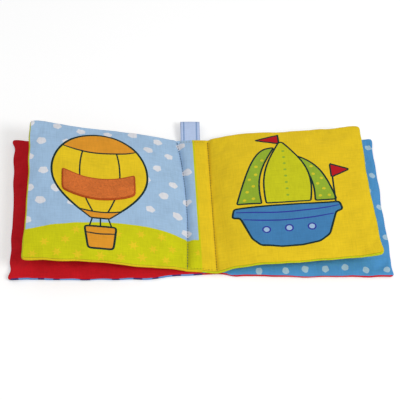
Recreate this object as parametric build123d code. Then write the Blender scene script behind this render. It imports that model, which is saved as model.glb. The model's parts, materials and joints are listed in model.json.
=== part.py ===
from build123d import *
import os
from math import pi, sin, sqrt

# Soft cloth book for a baby, lying open at its middle spread.
# +X is to the reader's right, +Y away from the reader, +Z up.
# The origin is on the underside of the spine, at its middle.

# Leaves of the outer, covering layer
SPINE_WIDTH = 27.0
COVER_REACH = 155.0
COVER_HEIGHT = 155.0
COVER_THICKNESS = 6.2
COVER_WAIST = 4.5
COVER_EAR = 1.0
COVER_EDGE_DIP = 2.4
COVER_FOLD_RUN = 46.0

# Leaves of the inner layer, which bow up off the covers
LEFT_REACH = 141.3
RIGHT_REACH = 142.5
PAGE_HEIGHT = 148.6
PAGE_EDGE_DIP = 2.1
PAGE_WAIST_NEAR = 2.5
PAGE_WAIST_FAR = 0.5
BELLY_UP = 2.0
BELLY_DOWN = 1.0
GUTTER_CROWN = 1.4
LEFT_LEAN = 4.5
RIGHT_LEAN = 3.0
LEFT_LIFT_FAR = 29.0
LEFT_LIFT_NEAR = 19.4
RIGHT_LIFT_FAR = 21.3
RIGHT_LIFT_NEAR = 24.7

# Sewn edges
SEAM_THICKNESS = 2.4
SEAM_LIFT = 0.6
PAD_RUN = 28.0
FOLD_GAP = 0.3
LAYER_GAP = 0.3
UNDERSIDE_CUT = 0.5

# Woven ribbon loop at the far end of the spine
RIBBON_WIDTH = 18.0
RIBBON_THICKNESS = 0.5
RIBBON_OFFSET = -2.5
LOOP_LENGTH = 25.5
LOOP_RADIUS = 3.7
LOOP_RISE = 1.0
TAIL_DEPTH = 8.0
TAIL_GAP = 0.15

# Felt patch to feel, on the left page
FELT_THICKNESS = 1.2
FELT_SEAT = 0.2
FELT_WIDTH = 66.0
FELT_HEIGHT = 24.0
FELT_SAG = 9.0
FELT_CORNER = 5.0
FELT_CENTRE_REACH = 76.0
FELT_CENTRE_Y = 12.0

# Where the sections of a leaf stand, from its fold to its fore edge, and the points across one
STATION_SHARES = (0, 0.04, 0.11, 0.24, 0.42, 0.62, 0.8, 0.93, 1)
ROW_SHARES = (-1, -0.93, -0.8, -0.55, 0, 0.55, 0.8, 0.93, 1)
STRIP_SHARES = (0, 0.2, 0.5, 0.8, 1)

# How far each page has lifted off its cover by each station
LEFT_FAR_SHARES = (0, 0.065, 0.175, 0.35, 0.515, 0.68, 0.87, 0.985, 1)
LEFT_NEAR_SHARES = (0, 0.07, 0.19, 0.355, 0.61, 0.83, 0.925, 0.97, 1)
RIGHT_FAR_SHARES = (0, 0.14, 0.33, 0.49, 0.6, 0.705, 0.82, 0.935, 1)
RIGHT_NEAR_SHARES = (0, 0.04, 0.15, 0.31, 0.44, 0.575, 0.72, 0.88, 1)

# The part of a leaf's length over which its waist widens, and over which its ear starts
WAIST_SHARE = 0.24
EAR_SHARE = 0.1

# Heights that follow from the layers
COVER_SEAM_TOP = SEAM_LIFT + SEAM_THICKNESS
PAGE_SEAM_LOW = COVER_SEAM_TOP + LAYER_GAP
PAGE_SEAM_TOP = PAGE_SEAM_LOW + SEAM_THICKNESS
FOLD_X = SPINE_WIDTH / 2


def round_up(distance, run):
    """From 0 at a sewn edge to 1 at run from it, rounded like the edge of a cushion."""
    part = min(1, max(0, distance / run))
    return sin(part * pi / 2)


def ease(share):
    """From 0 to 1 with a flat start and a flat end."""
    part = min(1, max(0, share))
    return part * part * (3 - 2 * part)


def height_at(share, side_share, half, waist, ear):
    """Distance of a leaf's near or far edge from the middle line, at a share of its length."""
    narrowed = waist * (1 - ease(share / WAIST_SHARE))
    eared = ear * ease((share - 1 + EAR_SHARE) / EAR_SHARE)
    return side_share * (half - narrowed + eared)


def pad(side, inner_x, reach, rows, lean, low, high, shares):
    """Solid lofted through upright sections, each with a low and a high curve joined at two seams."""
    wires = []
    for share in shares:
        under = []
        over = []
        for row in ROW_SHARES:
            y = rows(share, row)
            x = side * (inner_x + share * (reach - lean * row / 2))
            under.append((x, y, low(share, row)))
            over.append((x, y, high(share, row)))
        edges = [
            Spline(under),
            Line(under[-1], over[-1]),
            Spline(list(reversed(over))),
            Line(over[0], under[0]),
        ]
        wires.append(Wire(edges))
    return Solid.make_loft(wires)


def cover_rows(share, row):
    return abs(row) * height_at(share, 1 if row > 0 else -1, COVER_HEIGHT / 2, COVER_WAIST, COVER_EAR)


def page_rows(share, row):
    waist = PAGE_WAIST_FAR if row > 0 else PAGE_WAIST_NEAR
    return abs(row) * height_at(share, 1 if row > 0 else -1, PAGE_HEIGHT / 2, waist, 0)


def fore_fill(share, row, reach, dip):
    """How full the padding is beside the fore edge, which is drawn in between its corners."""
    return round_up((1 - share) * reach - dip * (1 - row * row), PAD_RUN)


def cover_fill(share, row):
    """How full the cover's padding is: none at its three sewn edges, and little beside its fold."""
    edge = (1 - abs(row)) * COVER_HEIGHT / 2
    fold = ease(share * COVER_REACH / COVER_FOLD_RUN)
    return round_up(edge, PAD_RUN) * fold * fore_fill(share, row, COVER_REACH, COVER_EDGE_DIP)


def page_fill(share, row, reach):
    """How full the page's padding is: none at its four sewn edges."""
    edge = (1 - abs(row)) * PAGE_HEIGHT / 2
    fold = round_up(share * reach, PAD_RUN)
    return round_up(edge, PAD_RUN) * fold * fore_fill(share, row, reach, PAGE_EDGE_DIP)


def cover_low(share, row):
    fill = cover_fill(share, row)
    return SEAM_LIFT * (1 - fill) - UNDERSIDE_CUT * fill


def cover_high(share, row):
    return COVER_SEAM_TOP + (COVER_THICKNESS - COVER_SEAM_TOP) * cover_fill(share, row)


def lift(share, row, far_lift, near_lift, far_shares, near_shares):
    """Height of a page's seam over its place at the fold, between the far edge's and the near edge's."""
    station = STATION_SHARES.index(share)
    far = far_lift * far_shares[station]
    near = near_lift * near_shares[station]
    return near + (far - near) * (1 + row) / 2


def left_lift(share, row):
    return lift(share, row, LEFT_LIFT_FAR, LEFT_LIFT_NEAR, LEFT_FAR_SHARES, LEFT_NEAR_SHARES)


def right_lift(share, row):
    return lift(share, row, RIGHT_LIFT_FAR, RIGHT_LIFT_NEAR, RIGHT_FAR_SHARES, RIGHT_NEAR_SHARES)


def page_surfaces(rise, reach):
    """The low and the high surface of a page of that reach whose seam follows rise."""

    def low(share, row):
        return PAGE_SEAM_LOW + rise(share, row) - BELLY_DOWN * page_fill(share, row, reach)

    def high(share, row):
        return PAGE_SEAM_TOP + rise(share, row) + BELLY_UP * page_fill(share, row, reach)

    return low, high


def dipped(leaf, side, reach, half, lean, dip, top):
    """The leaf with its fore edge drawn in between the corners, along a large arc."""
    half_chord = sqrt(half * half + lean * lean / 4)
    radius = (half_chord * half_chord + dip * dip) / (2 * dip)
    outward = Vector(side * half, lean / 2, 0).normalized()
    middle = Vector(side * (FOLD_X + reach), 0, top / 2) + outward * (radius - dip)
    return leaf - Pos(middle) * Cylinder(radius, 2 * top)


def make_cover(side):
    """Padded leaf of the outer layer, flat underneath where it lies on the table."""
    leaf = pad(side, FOLD_X, COVER_REACH, cover_rows, 0, cover_low, cover_high, STATION_SHARES)
    size = 2 * (COVER_REACH + COVER_HEIGHT)
    leaf -= Pos(0, 0, -UNDERSIDE_CUT) * Box(size, size, 2 * UNDERSIDE_CUT)
    half = COVER_HEIGHT / 2 + COVER_EAR
    return dipped(leaf, side, COVER_REACH, half, 0, COVER_EDGE_DIP, COVER_THICKNESS)


def make_page(side, reach, rise, lean, top_lift):
    """Padded leaf of the inner layer, sewn at its fold and bowed up towards its fore edge."""
    low, high = page_surfaces(rise, reach)
    leaf = pad(side, FOLD_X, reach, page_rows, lean, low, high, STATION_SHARES)
    top = PAGE_SEAM_TOP + BELLY_UP + top_lift
    return dipped(leaf, side, reach, PAGE_HEIGHT / 2, lean, PAGE_EDGE_DIP, top)


def make_cover_spine():
    """Quilted strip that the book rests on, between the stitch lines of the outer layer."""
    width = SPINE_WIDTH - 2 * FOLD_GAP

    def fill(share, row):
        edge = (1 - abs(row)) * COVER_HEIGHT / 2
        across = min(share, 1 - share) * width
        return round_up(edge, PAD_RUN) * round_up(across, width / 2)

    def low(share, row):
        return SEAM_LIFT * (1 - fill(share, row)) - UNDERSIDE_CUT * fill(share, row)

    def rows(share, row):
        return cover_rows(0, row)

    strip = pad(1, -width / 2, width, rows, 0, low, lambda share, row: COVER_SEAM_TOP, STRIP_SHARES)
    return strip - Pos(0, 0, -UNDERSIDE_CUT) * Box(2 * width, 2 * COVER_HEIGHT, 2 * UNDERSIDE_CUT)


def make_page_gutter():
    """Quilted strip between the pages, with a pocket under its far end for the ribbon's tails."""
    width = SPINE_WIDTH - 2 * FOLD_GAP

    def fill(share, row):
        edge = (1 - abs(row)) * PAGE_HEIGHT / 2
        across = min(share, 1 - share) * width
        return round_up(edge, PAD_RUN) * round_up(across, width / 2)

    def high(share, row):
        return PAGE_SEAM_TOP + GUTTER_CROWN * fill(share, row)

    def rows(share, row):
        return page_rows(0, row)

    strip = pad(1, -width / 2, width, rows, 0, lambda share, row: PAGE_SEAM_LOW, high, STRIP_SHARES)
    far_end = page_rows(0, 1)
    tails = 2 * RIBBON_THICKNESS + 2 * TAIL_GAP
    pocket = Box(
        RIBBON_WIDTH + 2 * TAIL_GAP,
        2 * (TAIL_DEPTH + TAIL_GAP),
        2 * (tails - LAYER_GAP),
    )
    return strip - Pos(RIBBON_OFFSET, far_end, PAGE_SEAM_LOW) * pocket


def make_ribbon_loop():
    """Ribbon folded into a flat drop, its two tails lying on each other in the spine's seam."""
    far_end = max(page_rows(0, 1), cover_rows(0, 1))
    root_y = far_end + TAIL_GAP
    root_z = COVER_SEAM_TOP + TAIL_GAP + RIBBON_THICKNESS
    tip_y = far_end + LOOP_LENGTH - LOOP_RADIUS
    root = Pos(root_y, root_z) * Circle(RIBBON_THICKNESS)
    tip = Pos(tip_y, root_z + LOOP_RISE) * Circle(LOOP_RADIUS)
    outer = make_hull(ShapeList(root.edges() + tip.edges()))
    inner = offset(outer, -RIBBON_THICKNESS)
    tail_middle = Pos(root_y - (TAIL_DEPTH + TAIL_GAP) / 2, root_z)
    tails = tail_middle * Rectangle(TAIL_DEPTH + TAIL_GAP, 2 * RIBBON_THICKNESS)
    profile = Plane.YZ * (outer - inner + tails)
    return Pos(RIBBON_OFFSET - RIBBON_WIDTH / 2, 0, 0) * extrude(profile, RIBBON_WIDTH, dir=(1, 0, 0))


def make_feel_patch():
    """Felt band cut with two arcs and lying on the left page."""
    _, high = page_surfaces(left_lift, LEFT_REACH)
    sheet = pad(
        -1,
        FOLD_X,
        LEFT_REACH,
        page_rows,
        LEFT_LEAN,
        lambda share, row: high(share, row) + FELT_SEAT,
        lambda share, row: high(share, row) + FELT_SEAT + FELT_THICKNESS,
        STATION_SHARES,
    )
    across = FELT_WIDTH / 2
    up = FELT_HEIGHT / 2
    with BuildSketch() as band:
        with BuildLine():
            ThreePointArc((-across, up), (0, up - FELT_SAG), (across, up))
            Line((across, up), (across, -up))
            ThreePointArc((across, -up), (0, -up - FELT_SAG), (-across, -up))
            Line((-across, -up), (-across, up))
        make_face()
        fillet(band.vertices(), FELT_CORNER)
    place = Pos(-FOLD_X - FELT_CENTRE_REACH, FELT_CENTRE_Y, 0)
    cutter = place * extrude(band.sketch, LEFT_LIFT_FAR + LEFT_LIFT_NEAR)
    return sheet & cutter


os.makedirs("parts", exist_ok=True)
export_step(make_cover(-1), "parts/front_cover.step")
export_step(make_cover(1), "parts/back_cover.step")
export_step(make_cover_spine(), "parts/cover_spine.step")
export_step(make_page(-1, LEFT_REACH, left_lift, LEFT_LEAN, LEFT_LIFT_FAR), "parts/left_page.step")
export_step(make_page(1, RIGHT_REACH, right_lift, RIGHT_LEAN, RIGHT_LIFT_NEAR), "parts/right_page.step")
export_step(make_page_gutter(), "parts/page_gutter.step")
export_step(make_ribbon_loop(), "parts/ribbon_loop.step")
export_step(make_feel_patch(), "parts/feel_patch.step")
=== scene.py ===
import json
import math
import random

import bpy
import numpy as np
from mathutils import Matrix, Vector
from mathutils.geometry import delaunay_2d_cdt


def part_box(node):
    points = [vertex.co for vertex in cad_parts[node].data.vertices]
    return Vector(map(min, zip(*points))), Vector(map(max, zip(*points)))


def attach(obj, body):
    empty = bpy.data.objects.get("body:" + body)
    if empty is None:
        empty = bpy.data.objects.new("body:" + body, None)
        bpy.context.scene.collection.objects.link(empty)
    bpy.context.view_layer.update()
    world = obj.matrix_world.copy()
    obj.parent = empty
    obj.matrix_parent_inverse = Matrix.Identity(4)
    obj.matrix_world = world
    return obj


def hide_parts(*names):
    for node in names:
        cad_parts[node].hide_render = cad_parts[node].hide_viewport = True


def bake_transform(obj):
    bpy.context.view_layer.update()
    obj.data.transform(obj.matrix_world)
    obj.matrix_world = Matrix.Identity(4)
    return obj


# Soft cloth book lying open at its middle spread. Lengths are in millimetres until a mesh is made.

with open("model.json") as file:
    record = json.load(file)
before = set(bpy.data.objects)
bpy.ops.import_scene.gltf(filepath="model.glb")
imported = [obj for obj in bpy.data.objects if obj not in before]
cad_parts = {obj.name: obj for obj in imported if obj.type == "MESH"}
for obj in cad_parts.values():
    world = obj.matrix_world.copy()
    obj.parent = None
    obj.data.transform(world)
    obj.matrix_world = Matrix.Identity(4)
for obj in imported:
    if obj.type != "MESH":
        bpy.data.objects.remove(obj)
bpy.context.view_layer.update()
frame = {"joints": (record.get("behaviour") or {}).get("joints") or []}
MM = 0.001
HINGE = next(joint for joint in frame["joints"] if joint["name"] == "back_cover_fold")
FOLD_X = HINGE["pos_m"][0] / MM
FOLD_Z = HINGE["pos_m"][2] / MM
BLEND_FROM = FOLD_X - 0.6
BLEND_TO = FOLD_X + 1.4

SEAM_THICKNESS = 2.4
SEAM_LIFT = 0.6
COVER_SEAM_TOP = SEAM_LIFT + SEAM_THICKNESS
COVER_SWELL = 3.2
PAGE_SEAM_LOW = FOLD_Z - SEAM_THICKNESS
PAGE_SWELL_UP = 2.0
PAGE_SWELL_DOWN = 1.0
GUTTER_CROWN = 1.9
PAD_RUN = 28.0
WAIST_SHARE = 0.24
PAGE_GATHERS = 0.7
COVER_GATHERS = 1.0
PAGE_HALF, PAGE_DEPTH = 74.6, 148
COVER_HALF, COVER_DEPTH = 77.5, 155
STITCH_INSET = 0.75

# Spacing of points over a cloth, on its outline and on its print; rows along its edge; rings of its rim
STEP = 1.35
OUTLINE_STEP = 1.1
PRINT_STEP = 1.2
BANDS = (0.45, 1.0, 1.7, 2.6)
RIM_ANGLES = (14, 32, 55, 78, 100, 125, 150, 168, 180)

# How far each page has lifted off its cover, at shares of its reach, by its far and its near edge
STATIONS = (0, 0.04, 0.11, 0.24, 0.42, 0.62, 0.8, 0.93, 1)
LEFT_FAR = (0, 0.065, 0.175, 0.35, 0.515, 0.68, 0.87, 0.985, 1)
LEFT_NEAR = (0, 0.07, 0.19, 0.355, 0.62, 0.85, 0.935, 0.975, 1)
RIGHT_FAR = (0, 0.14, 0.33, 0.49, 0.6, 0.705, 0.82, 0.935, 1)
RIGHT_NEAR = (0, 0.04, 0.19, 0.37, 0.5, 0.625, 0.76, 0.9, 1)

# Inks and dyes as sRGB, and the painted shades of a seam's ditch and of a crease
SKY = "#a3c2e0"
CLOUD = "#dfe0e6"
MEADOW = "#cecd12"
BLOSSOM = "#e5ca22"
GOLD = "#e8c722"
YELLOW = "#eac822"
ORANGE = "#e2982b"
INK = "#17322f"
LIME = "#cbcb1d"
GREEN = "#96b331"
HULL = "#4481b5"
HULL_INK = "#333f9e"
RED = "#bb1720"
SAIL_DOT = "#d9cb2c"
LEFT_HEM = "#e4c41e"
# Painted shade: the dark line of the seam's ditch just above the left page's near rim
LEFT_FORE = "#c2c322"
LEFT_DITCH_PAINTED_SHADE = "#b2a91c"
RIGHT_HEM = "#c9d018"
RIGHT_FORE = "#cfc01f"
# Painted shade: the dark line of the seam's ditch just above the right page's near rim
RIGHT_DITCH_PAINTED_SHADE = "#b5a01c"
COVER_RED = "#cd1824"
COVER_BLUE = "#5197d2"
COVER_DOT = "#a9c8de"
UNDER_BLUE = "#5f92d0"
UNDER_DOT = "#3c2f6e"
FELT = "#dc7434"
FELT_EDGE = "#b8521f"
RIBBON = "#bbcdee"
RIBBON_LINE = "#8aa5d0"
RIBBON_EDGE = "#9db1da"
# Thread of the left fold, its dark blue partly painted shade of the crease that it lies in
BLUE_THREAD_WITH_PAINTED_CREASE_SHADE = "#2f4463"
THREAD_BROWN = "#6d5420"
THREAD_OCHRE = "#8d6f28"


def linear(colour):
    """Linear red, green and blue of an sRGB hex colour."""
    parts = [int(colour[i : i + 2], 16) / 255 for i in (1, 3, 5)]
    return [part / 12.92 if part <= 0.04045 else ((part + 0.055) / 1.055) ** 2.4 for part in parts]


def placed(name, data):
    """New object of the scene that holds this data."""
    thing = bpy.data.objects.new(name, data)
    bpy.context.collection.objects.link(thing)
    return thing


def emptied(owner):
    """Node tree of a material or a world, without the nodes that it starts with."""
    owner.use_nodes = True
    owner.node_tree.nodes.clear()
    return owner.node_tree


def ease(share):
    """From 0 to 1 with a flat start and a flat end."""
    part = np.clip(share, 0, 1)
    return part * part * (3 - 2 * part)


def swell(distance, run):
    """From 0 at a sewn edge to 1 at run from it, rounded like the edge of a cushion."""
    return np.sin(np.clip(distance / run, 0, 1) * math.pi / 2)


def crisp(distance, run):
    """The same, but as steep at the edge as cloth that turns round a seam."""
    left = 1 - np.clip(distance / run, 0, 1)
    return np.sqrt(1 - left * left)


def through(at, shares, values):
    """Smooth curve through values at those shares, with no overshoot between them."""
    x = np.array(shares, float)
    y = np.array(values, float)
    rates = np.diff(y) / np.diff(x)
    slopes = np.empty_like(y)
    slopes[0], slopes[-1] = rates[0], rates[-1]
    slopes[1:-1] = 2 * rates[1:] * rates[:-1] / (rates[1:] + rates[:-1])
    at = np.clip(at, x[0], x[-1])
    i = np.clip(np.searchsorted(x, at) - 1, 0, len(x) - 2)
    width = x[i + 1] - x[i]
    t = (at - x[i]) / width
    start = (1 + 2 * t) * (1 - t) ** 2 * y[i] + t * (1 - t) ** 2 * width * slopes[i]
    return start + t * t * (3 - 2 * t) * y[i + 1] + t * t * (t - 1) * width * slopes[i + 1]


# Lines and loops in plan


def resampled(points, step, closed=False):
    """Points spaced evenly along a line through the given ones."""
    p = np.array(points, float)
    if closed:
        p = np.vstack([p, p[:1]])
    s = np.concatenate([[0], np.cumsum(np.linalg.norm(np.diff(p, axis=0), axis=1))])
    count = max(3, round(s[-1] / step))
    at = np.linspace(0, s[-1], count + 1)
    out = np.column_stack([np.interp(at, s, p[:, 0]), np.interp(at, s, p[:, 1])])
    return out[:-1] if closed else out


def softened(points, times, closed=False):
    """The same line with its corners rounded by averaging neighbours. An open line keeps its ends."""
    p = np.array(points, float)
    for _ in range(times):
        mean = (np.roll(p, 1, 0) + np.roll(p, -1, 0)) / 2
        moved = (p + mean) / 2
        if not closed:
            moved[0], moved[-1] = p[0], p[-1]
        p = moved
    return p


def normals(points, closed=False):
    """Unit vectors to the right of the line's direction."""
    p = np.array(points, float)
    along = np.roll(p, -1, 0) - np.roll(p, 1, 0)
    if not closed:
        along[0], along[-1] = p[1] - p[0], p[-1] - p[-2]
    along /= np.linalg.norm(along, axis=1)[:, None] + 1e-12
    return np.column_stack([along[:, 1], -along[:, 0]])


def anticlockwise(loop):
    p = np.array(loop, float)
    x, y = p[:, 0], p[:, 1]
    return p if np.sum(x * np.roll(y, -1) - np.roll(x, -1) * y) > 0 else p[::-1]


def grown(loop, by):
    """Closed loop moved outwards by that much, or inwards if negative."""
    p = anticlockwise(loop)
    return p + normals(p, True) * by


def ring(x, y, across, up, count, wobble=None):
    """Ellipse, with wobble an uneven one."""
    a = np.linspace(0, 2 * math.pi, count, endpoint=False)
    size = np.ones(count)
    if wobble:
        for k in (2, 3, 4, 5):
            size += wobble.uniform(-0.06, 0.06) * np.cos(k * a + wobble.uniform(0, 6.3))
    return np.column_stack([x + across / 2 * np.cos(a) * size, y + up / 2 * np.sin(a) * size])


def puff(x, y, size, rng):
    """Small lumpy cloud, as such spots are drawn with a brush."""
    a = np.linspace(0, 2 * math.pi, 36, endpoint=False)
    r = np.ones(len(a))
    for k, deep in ((2, 0.04), (3, 0.05), (5, 0.08), (6, 0.03)):
        r += deep * rng.uniform(0.5, 1) * np.cos(k * a + rng.uniform(0, 6.3))
    turn = rng.uniform(-0.5, 0.5)
    c, s = math.cos(turn), math.sin(turn)
    px, py = size * 0.5 * r * np.cos(a), size * 0.42 * r * np.sin(a)
    return np.column_stack([x + px * c - py * s, y + px * s + py * c])


def blossom(x, y, size, arms, turn):
    """Small blossom with pointed arms."""
    a = np.linspace(0, 2 * math.pi, 2 * arms, endpoint=False) + turn
    r = np.where(np.arange(2 * arms) % 2 == 0, size / 2, size / 5)
    return np.column_stack([x + r * np.cos(a), y + r * np.sin(a)])


def pen_line(points, width, fine=0.7):
    """Loop round a drawn line, with ends a little finer than its middle."""
    p = softened(resampled(points, 1.6), 4)
    t = np.linspace(0, 1, len(p))
    half = width / 2 * (fine + (1 - fine) * np.clip(6 * np.minimum(t, 1 - t), 0, 1))
    side = normals(p) * half[:, None]
    ends = 0.8 * side[:, ::-1] * (-1, 1)
    return np.vstack([p + side, p[-1:] + ends[-1:], (p - side)[::-1], p[:1] - ends[:1]])


def drawn(loop, fill, width, corners=2):
    """A field with an ink outline: two shapes, the ink below."""
    p = softened(resampled(loop, OUTLINE_STEP, True), corners, True)
    return [(grown(p, width / 2), INK), (grown(p, -width / 2), fill)]


def sagging(x, y, half, sag, shares):
    """Points of a shallow arc from x - half to x + half that hangs below y by sag in its middle."""
    return [(x + half * t, y - sag * (1 - t * t)) for t in shares]


def bellied(start, end, belly, shares):
    """Points on the way from start to end, pushed out by belly halfway."""
    way, belly = np.subtract(end, start), np.array(belly)
    return [start + way * t + belly * math.sin(math.pi * t) for t in shares]


def scattered(rng, low, high, across, up, keep):
    """Places of a staggered print, each a little off its row, where keep says so."""
    places = []
    for row, y in enumerate(np.arange(low[1], high[1], up)):
        for x in np.arange(low[0] + across / 2 * (row % 2), high[0], across):
            place = (x + rng.uniform(-0.13, 0.13) * across, y + rng.uniform(-0.13, 0.13) * up)
            if keep(*place):
                places.append(place)
    return places


# Simulated cloth


def blurred(grid, times):
    for _ in range(times):
        p = np.pad(grid, 1, mode="edge")
        p = p[:-2] + 2 * p[1:-1] + p[2:]
        grid = (p[:, :-2] + 2 * p[:, 1:-1] + p[:, 2:]) / 16
    return grid


def sampled(grid, u, v):
    """Smooth value of a grid at shares of its two sides."""
    wide = np.pad(grid, 1, mode="edge")
    x, y = np.clip(u, 0, 1) * (grid.shape[0] - 1), np.clip(v, 0, 1) * (grid.shape[1] - 1)
    i, j = np.minimum(x.astype(int), grid.shape[0] - 2), np.minimum(y.astype(int), grid.shape[1] - 2)

    def taps(f):
        square, cube = f**2, f**3
        return (1 - f) ** 3 / 6, (4 - 6 * square + 3 * cube) / 6, (1 + 3 * (f + square - cube)) / 6, cube / 6

    total = 0
    for a, across in enumerate(taps(x - i)):
        for b, along in enumerate(taps(y - j)):
            total = total + across * along * wide[i + a, j + b]
    return total


def gathered(wide, deep, seed, size):
    """Relief of both cloths of a padded leaf, from a simulation of it.

    Two sheets sewn together all round are blown up while their seams draw in, so that the cloth gathers
    there. Their heights without the broad swell are the relief, whose strongest parts are as high as size."""
    cell, frames = 2.2, 14
    # Ten times the real size, where the solver works best
    enlarged = 10 * MM
    nx, ny = round(wide / cell), round(deep / cell)
    rng = random.Random(seed)
    x, y = np.meshgrid(np.linspace(0, wide, nx + 1), np.linspace(-deep / 2, deep / 2, ny + 1), indexing="ij")
    edge = np.minimum.reduce([x, wide - x, y + deep / 2, deep / 2 - y])
    inner = edge > 1e-6
    z = 0.5 * inner + 1.5 * swell(edge, 25)
    top = np.arange(z.size).reshape(z.shape)
    low = top.copy()
    low[inner] = z.size + np.arange(inner.sum())
    uneven = np.array([rng.uniform(-0.05, 0.05) for _ in range(z.size)]).reshape(z.shape) * inner
    upper = np.column_stack([x.ravel(), y.ravel(), (z + uneven).ravel()])
    under = np.column_stack([x[inner], y[inner], (uneven - z)[inner]])
    faces = []
    for i in range(nx):
        for j in range(ny):
            a, b, c, d = (i, j), (i + 1, j), (i + 1, j + 1), (i, j + 1)
            for tri in ((a, b, c), (a, c, d)) if (i + j) % 2 else ((a, b, d), (b, c, d)):
                faces.append([int(top[corner]) for corner in tri])
                faces.append([int(low[corner]) for corner in tri[::-1]])
    mesh = bpy.data.meshes.new("pad")
    mesh.from_pydata((np.vstack([upper, under]) * enlarged).tolist(), [], faces)
    pad = placed("pad", mesh)
    seam = pad.vertex_groups.new(name="seam")
    for i, j in np.argwhere(~inner):
        draw = 0.7 + 0.3 * math.sin(0.37 * (i - j) + seed) * math.sin(0.91 * (i - j))
        seam.add([int(top[i, j])], draw, "REPLACE")
    cloth = pad.modifiers.new("Cloth", "CLOTH")
    values = cloth.settings
    values.quality, values.mass, values.air_damping = 5, 0.3, 2
    values.tension_stiffness, values.compression_stiffness, values.shear_stiffness = 15, 12, 8
    values.tension_damping = values.compression_damping = values.shear_damping = 10
    values.bending_stiffness = 3.5
    values.use_pressure, values.uniform_pressure_force = True, 1.2
    values.effector_weights.gravity = 0
    values.vertex_group_shrink, values.shrink_min, values.shrink_max = "seam", 0, 0.045
    cloth.collision_settings.use_collision = False
    cloth.point_cache.frame_start, cloth.point_cache.frame_end = 1, frames
    for frame_number in range(1, frames + 1):
        bpy.context.scene.frame_set(frame_number)
    settled = pad.evaluated_get(bpy.context.evaluated_depsgraph_get()).data
    at = np.empty(3 * len(mesh.vertices))
    settled.vertices.foreach_get("co", at)
    height = at[2::3] / enlarged
    bpy.data.objects.remove(pad)
    bpy.data.meshes.remove(mesh)
    bpy.context.scene.frame_set(1)
    reliefs = []
    steps = np.round(edge / cell).astype(int)
    for layer in (top, low):
        grid = height[layer]
        grid = grid - blurred(grid, 25)
        mean = np.bincount(steps.ravel(), grid.ravel()) / np.bincount(steps.ravel())
        grid = grid - mean[steps]
        reliefs.append(grid * size / np.percentile(np.abs(grid), 98))
    return reliefs


# Leaves: the outline of each half of a folded double leaf, and its height


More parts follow.
